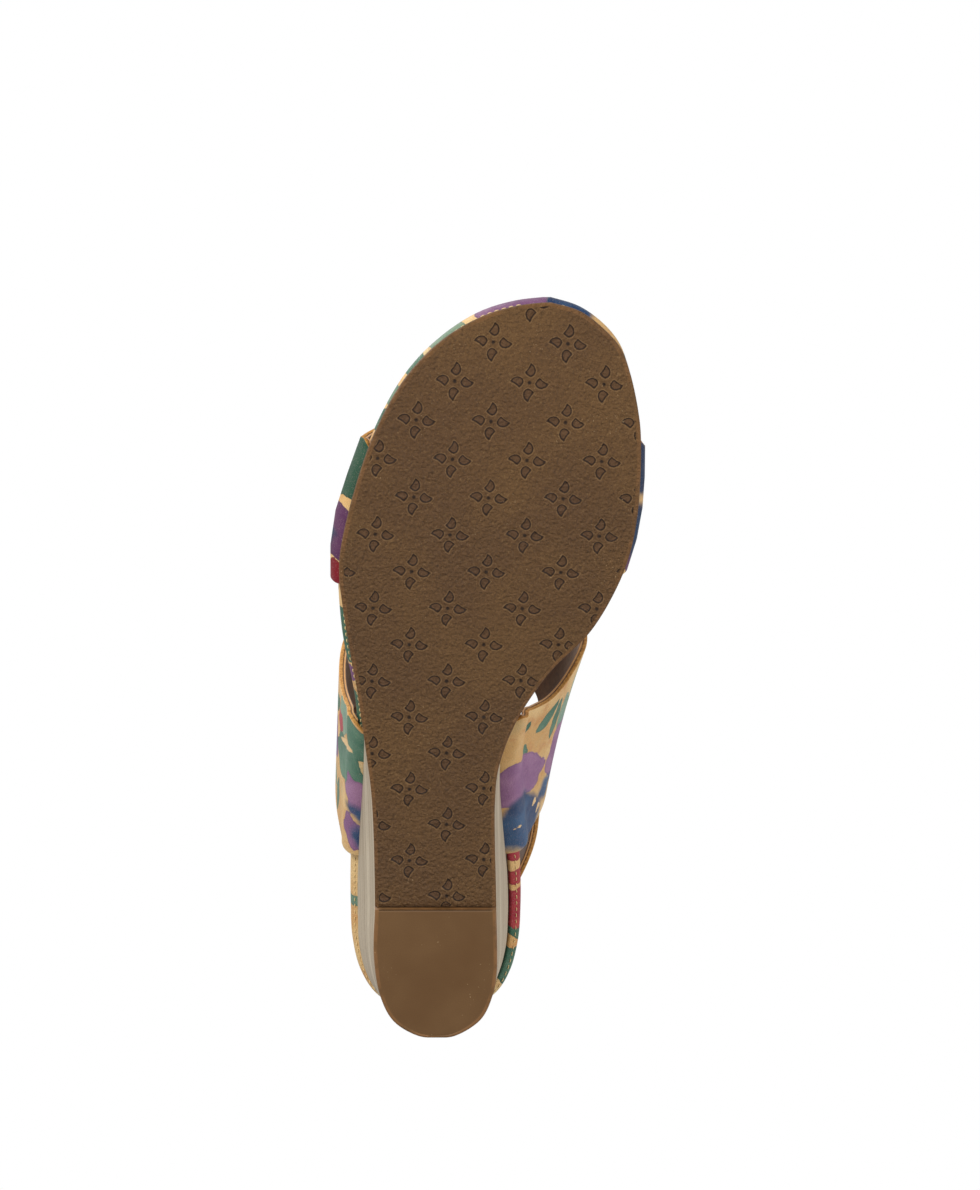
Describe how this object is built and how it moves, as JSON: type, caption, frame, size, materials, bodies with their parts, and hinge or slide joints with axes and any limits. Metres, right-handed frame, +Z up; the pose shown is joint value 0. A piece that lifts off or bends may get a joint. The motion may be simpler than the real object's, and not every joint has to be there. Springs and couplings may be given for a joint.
{
  "type": "wedge sandal",
  "caption": "Right-foot wedge sandal with a debossed rubber outsole, wrapped footbed, toe strap, instep strap with a hook-and-loop flap, and a back strap.",
  "frame": {"origin": "middle of the sandal's box, on the ground that the sole stands on", "axes": "+Z up; the toe points to -Y and the heel to +Y; +X is the inner side of the foot"},
  "size_m": [0.0974, 0.2504, 0.1005],
  "materials": {
    "sole_rubber": "matt brown rubber with a fine leather-like grain",
    "lift_rubber": "smooth matt brown rubber",
    "wedge_foam": "rigid foam",
    "stacked_sheet": "grey-beige sheet printed with fine stacked layers, satin",
    "filler_cork": "pressed cork",
    "shank_steel": "spring steel",
    "insole_board": "pressed fibre board",
    "footbed_foam": "soft foam",
    "sock_leather": "smooth tan-brown leather",
    "painted_leather": "tan leather painted with loose flowers in violet, blue, green and crimson, semi-gloss",
    "brown_lining": "brown sueded lining leather",
    "closing_tape": "dark brown hook-and-loop tape",
    "fastener_steel": "plain steel"
  },
  "bodies": {
    "sandal": {"outsole": "sole_rubber", "heel_top_lift": "lift_rubber", "lift_peg_1": "lift_rubber", "lift_peg_2": "lift_rubber", "wedge_core": "wedge_foam", "wedge_cover": "stacked_sheet", "bottom_filler": "filler_cork", "shank": "shank_steel", "insole_board": "insole_board", "footbed_foam": "footbed_foam", "sock": "sock_leather", "footbed_wrap": "painted_leather", "toe_strap_outer": "painted_leather", "toe_strap_lining": "brown_lining", "lateral_quarter_outer": "painted_leather", "lateral_quarter_lining": "brown_lining", "medial_leg_outer": "painted_leather", "medial_leg_lining": "brown_lining", "loop_patch": "closing_tape", "back_strap_outer": "painted_leather", "back_strap_lining": "brown_lining", "shank_rivet_front": "fastener_steel", "shank_rivet_rear": "fastener_steel", "heel_screw": "fastener_steel", "heel_nail_1": "fastener_steel", "heel_nail_2": "fastener_steel", "heel_nail_3": "fastener_steel", "heel_nail_4": "fastener_steel"},
    "flap": {"instep_flap_outer": "painted_leather", "instep_flap_lining": "brown_lining", "hook_patch": "closing_tape"}
  },
  "joints": [
    {"name": "instep_flap_fold", "type": "hinge", "parent": "sandal", "child": "flap", "pos_m": [0.01947, 0.01411, 0.08011], "axis": [-0.284, 0.9228, 0.2602], "range_deg": [0, 110]}
  ]
}
